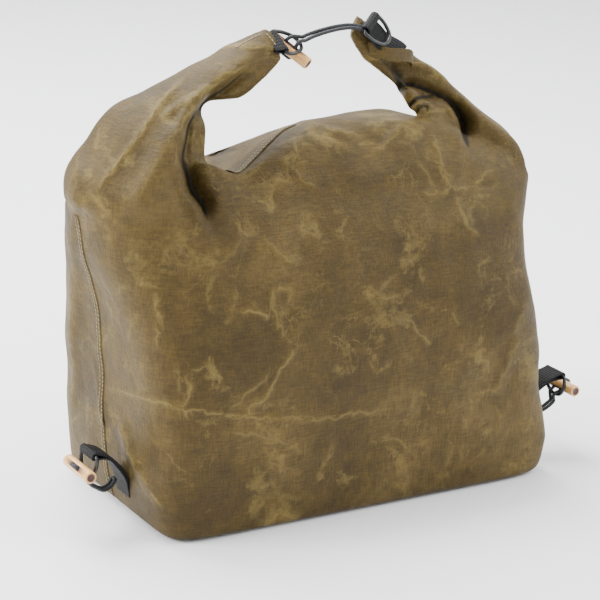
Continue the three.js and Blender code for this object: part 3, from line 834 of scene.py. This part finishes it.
def drill(piece, x):
    bpy.ops.object.select_all(action="DESELECT")
    bpy.ops.mesh.primitive_cylinder_add(
        vertices=28, radius=HOLE_RADIUS * MM, depth=4 * TOGGLE_RADIUS * MM, location=(x * MM, 0, 0))
    bit = bpy.context.active_object
    cut = piece.modifiers.new("hole", "BOOLEAN")
    cut.operation = "DIFFERENCE"
    cut.solver = "EXACT"
    cut.object = bit
    apply_modifiers(piece)
    bpy.data.objects.remove(bit)


def first_toggle():
    """A length of dowel: ends eased, one end scorched, two holes for the cord."""
    bpy.ops.object.select_all(action="DESELECT")
    bpy.ops.mesh.primitive_cylinder_add(
        vertices=48, radius=TOGGLE_RADIUS * MM, depth=TOGGLE_LENGTH * MM, rotation=(0, math.pi / 2, 0))
    toggle = bpy.context.active_object
    bpy.ops.object.transform_apply(location=True, rotation=True, scale=True)
    bpy.ops.object.mode_set(mode="EDIT")
    bpy.ops.mesh.select_mode(type="EDGE")
    bpy.ops.mesh.select_all(action="DESELECT")
    bpy.ops.object.mode_set(mode="OBJECT")
    for edge in toggle.data.edges:
        ends = [toggle.data.vertices[i].co.x for i in edge.vertices]
        edge.select = ends[0] * ends[1] > 0
    bpy.ops.object.mode_set(mode="EDIT")
    bpy.ops.mesh.bevel(offset=0.9 * MM, segments=3)
    bpy.ops.mesh.select_all(action="DESELECT")
    bpy.ops.mesh.select_mode(type="FACE")
    bpy.ops.object.mode_set(mode="OBJECT")
    for face in toggle.data.polygons:
        face.select = abs(face.normal.x) > 0.99 and abs(face.center.x) > 19 * MM
    bpy.ops.object.mode_set(mode="EDIT")
    bpy.ops.mesh.inset(thickness=1.0 * MM, use_individual=True)
    bpy.ops.mesh.inset(thickness=0.35 * MM, depth=-0.25 * MM, use_individual=True)
    bpy.ops.object.mode_set(mode="OBJECT")
    for x in (-HOLE_SPACING / 2, HOLE_SPACING / 2):
        drill(toggle, x)
    toggle.data.shade_smooth()
    select_only(toggle)
    bpy.ops.object.shade_smooth_by_angle(angle=math.radians(38))
    apply_modifiers(toggle)
    points = points_of(toggle)
    place = toggle.data.attributes.new("dowel_place", "FLOAT_VECTOR", "POINT")
    place.data.foreach_set("vector", points.astype(np.float32).ravel())
    x, y, z = points.T / MM
    scorch = np.zeros(len(points))
    for centre in (-HOLE_SPACING / 2, HOLE_SPACING / 2):
        from_hole = np.hypot(x - centre, y)
        scorch = np.maximum(scorch, np.clip((HOLE_RADIUS + 0.35 - from_hole) / 0.3, 0, 1))
    ends = (np.abs(x) > 19.5) & (np.hypot(y, z) < TOGGLE_RADIUS - 1.6)
    keep_values(toggle, "scorch", np.maximum(scorch, ends))
    toggle.data.materials.append(birch)
    return toggle


def copy_of(piece, name, matrix):
    copied = piece.copy()
    copied.data = piece.data.copy()
    copied.name = name
    bpy.context.collection.objects.link(copied)
    settle(copied, matrix)
    return copied


def cord_along(name, line, sides=14):
    """A round cord along a line of points, with a map round and along it in metres."""
    radius = CORD_RADIUS * MM
    line = [Vector(p) for p in line]
    points, spread = [], []
    across = None
    travelled = 0.0
    for k, centre in enumerate(line):
        ahead = (line[min(k + 1, len(line) - 1)] - line[max(k - 1, 0)]).normalized()
        if across is None:
            across = ahead.orthogonal().normalized()
        across = (across - ahead * across.dot(ahead)).normalized()
        other = ahead.cross(across)
        if k:
            travelled += (centre - line[k - 1]).length
        for i in range(sides):
            angle = 2 * math.pi * i / sides
            points.append(centre + (across * math.cos(angle) + other * math.sin(angle)) * radius)
            spread.append((angle * radius, travelled))
    piece = mesh_object(name, points, tube_faces(len(line), sides))
    layer = piece.data.uv_layers.new(name="sleeve")
    turn = 2 * math.pi * radius
    for face in piece.data.polygons:
        values = [spread[piece.data.loops[i].vertex_index] for i in face.loop_indices]
        widest = max(v[0] for v in values)
        for i, (round_it, along) in zip(face.loop_indices, values):
            if widest - round_it > turn / 2:
                round_it += turn
            layer.data[i].uv = (round_it, along)
    piece.data.materials.append(shock_cord)
    return piece


def sheet_faces(rows, columns):
    return [(a, a + 1, a + columns + 2, a + columns + 1)
            for r in range(rows - 1) for a in range(r * (columns + 1), r * (columns + 1) + columns)]


def strap(name, centres, across, width, thickness, material, columns=10):
    """A flat strap along centres, with a map across and along it in metres and rounded selvedges."""
    centres = [Vector(p) for p in through(np.array([tuple(c) for c in centres]), 6 * len(centres))]
    points, spread = [], []
    travelled = 0.0
    for k, centre in enumerate(centres):
        if k:
            travelled += (centre - centres[k - 1]).length
        for c in range(columns + 1):
            share = c / columns - 0.5
            points.append(centre + across * (share * width))
            spread.append((share * width, travelled))
    piece = mesh_object(name, points, sheet_faces(len(centres), columns))
    layer = piece.data.uv_layers.new(name="strap")
    for loop in piece.data.loops:
        layer.data[loop.index].uv = spread[loop.vertex_index]
    wall = piece.modifiers.new("thickness", "SOLIDIFY")
    wall.thickness = thickness
    wall.offset = 0
    ease = piece.modifiers.new("selvedge", "BEVEL")
    ease.width = thickness * 0.3
    ease.segments = 2
    ease.limit_method = "ANGLE"
    apply_modifiers(piece)
    piece.data.shade_smooth()
    piece.data.materials.append(material)
    return piece


def folded_path(frame_matrix, front, behind, radius=2.55):
    """A strap's path: along points (reach, height) to the bar, round it, and back along others."""
    wrap = [(radius * math.sin(a), radius * math.cos(a)) for a in np.linspace(0.15 * math.pi, 0.85 * math.pi, 6)]
    return [spot(frame_matrix, 0, reach, height) for reach, height in [*front, *wrap, *behind]]


ring_pattern, toggle_pattern = first_ring(), first_toggle()


def toggle_seat(turn, lean):
    """Where the toggle lies in its hook's frame: turned across the ring and rolled about its length."""
    turned = Matrix.Rotation(turn, 4, "Z") @ Matrix.Rotation(lean, 4, "X")
    return Matrix.Translation((0, TOGGLE_REACH, -TOGGLE_DROP)) @ turned


def bight_line(turn, lean):
    seat = toggle_seat(turn, lean)
    under = -TOGGLE_RADIUS - CORD_RADIUS

    def hole(side, height):
        return np.array(seat @ Vector((side * HOLE_SPACING / 2, 0, height)))

    def strand(side):
        crossing = np.array([side * 2.8, BIGHT_REACH - 5, CORD_LIFT])
        return [
            np.array([side * 2.2, BIGHT_REACH + 0.8, CORD_LIFT]),
            np.array([side * 2.6, BIGHT_REACH - 3, CORD_LIFT]),
            hole(side, TOGGLE_RADIUS + 4.6) * 0.5 + crossing * 0.5,
            hole(side, TOGGLE_RADIUS + 2),
            hole(side, 3),
            hole(side, 0),
            hole(side, -TOGGLE_RADIUS + 0.4),
        ]

    middle = hole(0, under)
    bend = [hole(side, under + 0.1) * 0.7 + middle * 0.3 for side in (-1, 1)]
    return [*strand(-1), bend[0], middle, bend[1], *reversed(strand(1))]


def place_hook(name, frame_matrix, turn, lean, ring_body, toggle_body):
    ring = copy_of(ring_pattern, name + "_wire_ring", frame_matrix)
    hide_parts(name + "_ring")
    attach(ring, ring_body)
    seat = toggle_seat(turn, lean)
    seat.translation *= MM
    toggle = copy_of(toggle_pattern, name + "_birch_toggle", frame_matrix @ seat)
    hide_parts(name + "_toggle")
    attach(toggle, toggle_body)
    line = [spot(frame_matrix, *p) for p in through(np.array(bight_line(turn, lean)), 90)]
    bight = cord_along(name + "_cord_loop", line)
    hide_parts(name + "_cord_bight")
    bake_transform(bight)


place_hook("closure", LEFT_END, CLOSURE_TURN, 0, "closure_ring", "closure_toggle")
place_hook("left_hook", LEFT_HOOK, 0, LOWER_LEAN, "left_hook_ring", "left_hook_toggle")
place_hook("right_hook", RIGHT_HOOK, 0, LOWER_LEAN, "right_hook_ring", "right_hook_toggle")
flipping_ring = copy_of(ring_pattern, "right_end_wire_ring", RIGHT_END)
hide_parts("right_end_ring")
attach(flipping_ring, "right_end_ring")
for pattern in (ring_pattern, toggle_pattern):
    bpy.data.objects.remove(pattern)

# ---- webbing tabs ----
TAB_WIDTH = 22 * MM
LAYER = 1.5 * MM
left_tab_line = folded_path(LEFT_END, [(-10, 0.9), (-5, 1.3), (-1.5, 2.3)], [(-1.5, -2.3), (-5, -1.3), (-10, -0.9)])
left_tab = strap("left_end_webbing", left_tab_line, ring_bar(LEFT_END), TAB_WIDTH, LAYER, black_webbing)
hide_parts("left_end_tab")
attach(left_tab, "carry_loop")
# from the arm to the ring, and round its bar: (reach, height) in the ring's frame
RIGHT_WRAP = [(17, -3.6), (10, -3.3), (4, -3.2), (0, -3.4), (-2.4, -2.4), (-3.4, 0), (-2.4, 2.4), (0, 3.4),
              (2.5, 2.3), (3.2, 0), (2.4, -1.4)]
right_strip = [Vector(p) * MM for p in ((71, -3, 343.5), (65, -4, 348))]
right_strip += [spot(RIGHT_END, 0, reach, height) for reach, height in RIGHT_WRAP]
right_tab = strap("right_end_webbing", right_strip, ring_bar(RIGHT_END), TAB_WIDTH, LAYER, black_webbing)
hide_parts("right_end_tab")
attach(right_tab, "carry_loop")

# The lower tabs: a foot sewn to the bag's side, up and out to the ring, round its bar and back.
LOWER_TAB = [(179.5, -25, 19), (182, -27, 27), (186.5, -31, 38), (197, -38, 52), (208, -43, 62.5)]
for name, side in (("left_hook", -1), ("right_hook", 1)):
    run = [Vector((side * x, y, z)) * MM for x, y, z in LOWER_TAB]
    outward = Vector((side * 0.55, 0, -0.83)) * (0.9 * MM)
    wrap = [Vector((side * (219.5 + 2.6 * math.sin(a)), -45, 66 + 2.6 * math.cos(a))) * MM
            for a in np.linspace(-0.25 * math.pi, 0.8 * math.pi, 7)]
    line = [p - outward for p in run] + wrap + [p + outward * 0.9 for p in reversed(run)]
    tab = strap(name + "_webbing", line, Vector((0, side, 0)), TAB_WIDTH, LAYER, black_webbing)
    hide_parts(name + "_tab")
    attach(tab, "bag")

# ---- doubled cords ----
# along the middle of the two strands, and how far each lies from it
CLOSURE_STRAND = [((-12, -0.2, 363), 2), ((-1.5, -2.5, 366.2), 1.8), ((9, -5.5, 368.6), 1.7),
                  ((18, -8, 369.4), 1.7), ((27, -10, 368), 1.7)]


def cord_start(matrix, side):
    return [spot(matrix, side * 2.2, BIGHT_REACH + reach, CORD_LIFT) for reach in (0.8, 3)]


def closure_spots(side):
    spread = ring_bar(LEFT_END)
    return [Vector(centre) * MM + spread * (side * apart * MM) for centre, apart in CLOSURE_STRAND]


route = [
    cord_start(LEFT_END, -1)[0], *closure_spots(-1),
    Vector((32, -11, 366.5)) * MM,
    *reversed(closure_spots(1)), cord_start(LEFT_END, 1)[0],
]
closure_cord = cord_along("closure_doubled_cord", through(route, 200))
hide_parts("closure_cord")
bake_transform(closure_cord)
LOWER_CORD = [(214.6, -45, 37.2), (208, -44, 33.6), (201, -41, 34), (196, -38.5, 37.5)]
for name, side, matrix in (("left_hook", -1, LEFT_HOOK), ("right_hook", 1, RIGHT_HOOK)):
    spread = ring_bar(matrix)
    strands = []
    for end in (-1, 1):
        spots = [Vector((side * x, y, z)) * MM + spread * (end * 2.4 * MM) for x, y, z in LOWER_CORD]
        strands.append([*cord_start(matrix, end), *spots])
    route = [*strands[0], *reversed(strands[1])]
    cord = cord_along(name + "_doubled_cord", through(route, 110))
    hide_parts(name + "_cord")
    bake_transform(cord)

# ---- hem of the mouth, side seams and their stitching ----
skin_points, skin_faces = [tuple(p) for p in points_of(skin)], [tuple(f.vertices) for f in skin.data.polygons]
shell = BVHTree.FromPolygons(skin_points, skin_faces)


def on_canvas(spots, way, lift, start=0.12):
    """Drops places along a way on to the canvas. Gives the points, lifted off it, and the way out."""
    laid = []
    for place in spots:
        hit, normal, _, _ = shell.ray_cast(Vector(place) - Vector(way) * start, Vector(way), 0.3)
        if hit is not None:
            laid.append((hit + normal * lift, normal))
    return laid


def ribbon(name, laid, width, thickness, columns=6):
    """A flat tape of canvas over the canvas."""
    points = []
    for k, (centre, normal) in enumerate(laid):
        ahead = (laid[min(k + 1, len(laid) - 1)][0] - laid[max(k - 1, 0)][0]).normalized()
        across = normal.cross(ahead).normalized()
        for c in range(columns + 1):
            share = c / columns - 0.5
            rise = (1 - (2 * share) ** 4) * thickness
            points.append(centre + across * (share * width) + normal * rise)
    faces = [(a, d, c, b) for a, b, c, d in sheet_faces(len(laid), columns)]
    piece = mesh_object(name, points, faces)
    wall = piece.modifiers.new("thickness", "SOLIDIFY")
    wall.thickness = thickness
    wall.offset = -1
    apply_modifiers(piece)
    piece.data.shade_smooth()
    piece.data.materials.append(waxed_canvas)
    return piece


def stitches(name, laid, offsets, length, pitch, radius):
    """Rows of short stitches beside a line on the canvas."""
    points, faces = [], []
    line = np.array([tuple(p) for p, _ in laid])
    along = np.concatenate([[0], np.cumsum(np.linalg.norm(np.diff(line, axis=0), axis=1))])
    for offset in offsets:
        for start in np.arange(pitch, along[-1] - pitch, pitch):
            k = min(int(np.searchsorted(along, start)), len(laid) - 2)
            centre, normal = laid[k]
            ahead = (laid[k + 1][0] - laid[max(k - 1, 0)][0]).normalized()
            across = normal.cross(ahead).normalized()
            middle = Vector([np.interp(start, along, line[:, i]) for i in range(3)]) + across * offset
            first = len(points)
            for reach, swell in ((-0.5, 0.35), (-0.3, 1), (0.3, 1), (0.5, 0.35)):
                for i in range(5):
                    angle = 2 * math.pi * i / 5
                    ring = across * math.cos(angle) + normal * math.sin(angle)
                    points.append(middle + ahead * (reach * length) + ring * (radius * swell))
            faces += tube_faces(4, 5, first)
    piece = mesh_object(name, points, faces)
    piece.data.materials.append(thread)
    return piece


HEM_LINE = [(-102, -37, 270), (-90, -30, 273), (-76, -22, 276), (-63, -17, 279), (-52, -12, 282), (-43, -6, 286),
            (-34, -1, 290), (-24, 4, 294)]
hem_laid = on_canvas(through(HEM_LINE, 60) * MM, (0, 0, -1), 0.3 * MM, start=0.012)
hem = ribbon("mouth_hem_band", hem_laid, 9 * MM, 0.9 * MM)
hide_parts("mouth_hem")
hem_top = [(p + n * 1.0 * MM, n) for p, n in hem_laid]
hem_rows = (-2.6 * MM, 0.2 * MM, 2.8 * MM)
hem_stitching = stitches("mouth_hem_stitching", hem_top, hem_rows, 2.9 * MM, 3.6 * MM, 0.42 * MM)
for piece in (hem, hem_stitching):
    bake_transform(piece)
STRAP_COVER = [(34, -9, 351), (40, -15, 350), (48, -19, 347.5), (60, -18, 346), (71, -14, 344), (78, -8, 340),
               (83, 1, 337), (86, 11, 334)]
cover_line = [Vector(p) * MM for p in STRAP_COVER]
cover = strap("right_end_strap_cover", cover_line, up_axis, 10.5 * MM, 1.6 * MM, waxed_canvas)
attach(cover, "carry_loop")
TIP_ROWS = [
    [(-58, -6, 370), (-52, -6, 363), (-45.5, -6, 354)],
    [(-80, 2, 355), (-70, 2, 360.5), (-62, 2, 364), (-55, 2, 366)],
]
for k, row in enumerate(TIP_ROWS):
    laid = on_canvas(through(row, 24) * MM, forward, 0.3 * MM, start=0.03)
    tip_row = stitches(f"tip_stitching_{k + 1}", laid, (0,), 2.6 * MM, 3.3 * MM, 0.42 * MM)
    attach(tip_row, "carry_loop")
for name, side in (("left", -1), ("right", 1)):
    spots = [(side * 0.24, 2 * MM, z * MM) for z in np.linspace(6, 238, 120)]
    laid = on_canvas(spots, (-side, 0, 0), 0.1 * MM)
    seam = ribbon(name + "_side_seam_fell", laid, 7 * MM, 0.6 * MM)
    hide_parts(name + "_side_seam")
    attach(seam, "bag")
    top = [(p + n * 0.8 * MM, n) for p, n in laid]
    row = stitches(name + "_side_seam_stitching", top, (-2 * MM, 2 * MM), 2.6 * MM, 3.4 * MM, 0.3 * MM)
    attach(row, "bag")

# ---- floor, lights and surroundings ----
bpy.ops.object.select_all(action="DESELECT")
bpy.ops.mesh.primitive_plane_add(size=12, location=(0, 0, -0.0004))
floor = bpy.context.active_object
floor.name = "floor"
floor_finish = Finish("matt_white_floor")
floor_finish.set(("Base Color", linear("#F2F3F5")), ("Roughness", 0.8))
floor.data.materials.append(floor_finish.material)


BAG_MIDDLE = Vector((0, 0, 0.2))


def softbox(name, place, size, power):
    bpy.ops.object.light_add(type="AREA", location=place)
    light = bpy.context.active_object
    light.name = name
    light.data.shape = "SQUARE"
    light.data.size = size
    light.data.energy = power
    light.rotation_euler = (BAG_MIDDLE - Vector(place)).to_track_quat("-Z", "Y").to_euler()


softbox("key_softbox", (-2.3, 0.5, 1.5), 1.3, 105)
softbox("top_softbox", (-0.2, 1.2, 2.2), 1.6, 140)
softbox("fill_softbox", (1.9, -1.2, 1.9), 1.5, 60)
world = bpy.data.worlds.new("white_surround")
world.use_nodes = True
world.node_tree.nodes["Background"].inputs["Color"].default_value = (1, 1, 1, 1)
world.node_tree.nodes["Background"].inputs["Strength"].default_value = 1.35
bpy.context.scene.world = world
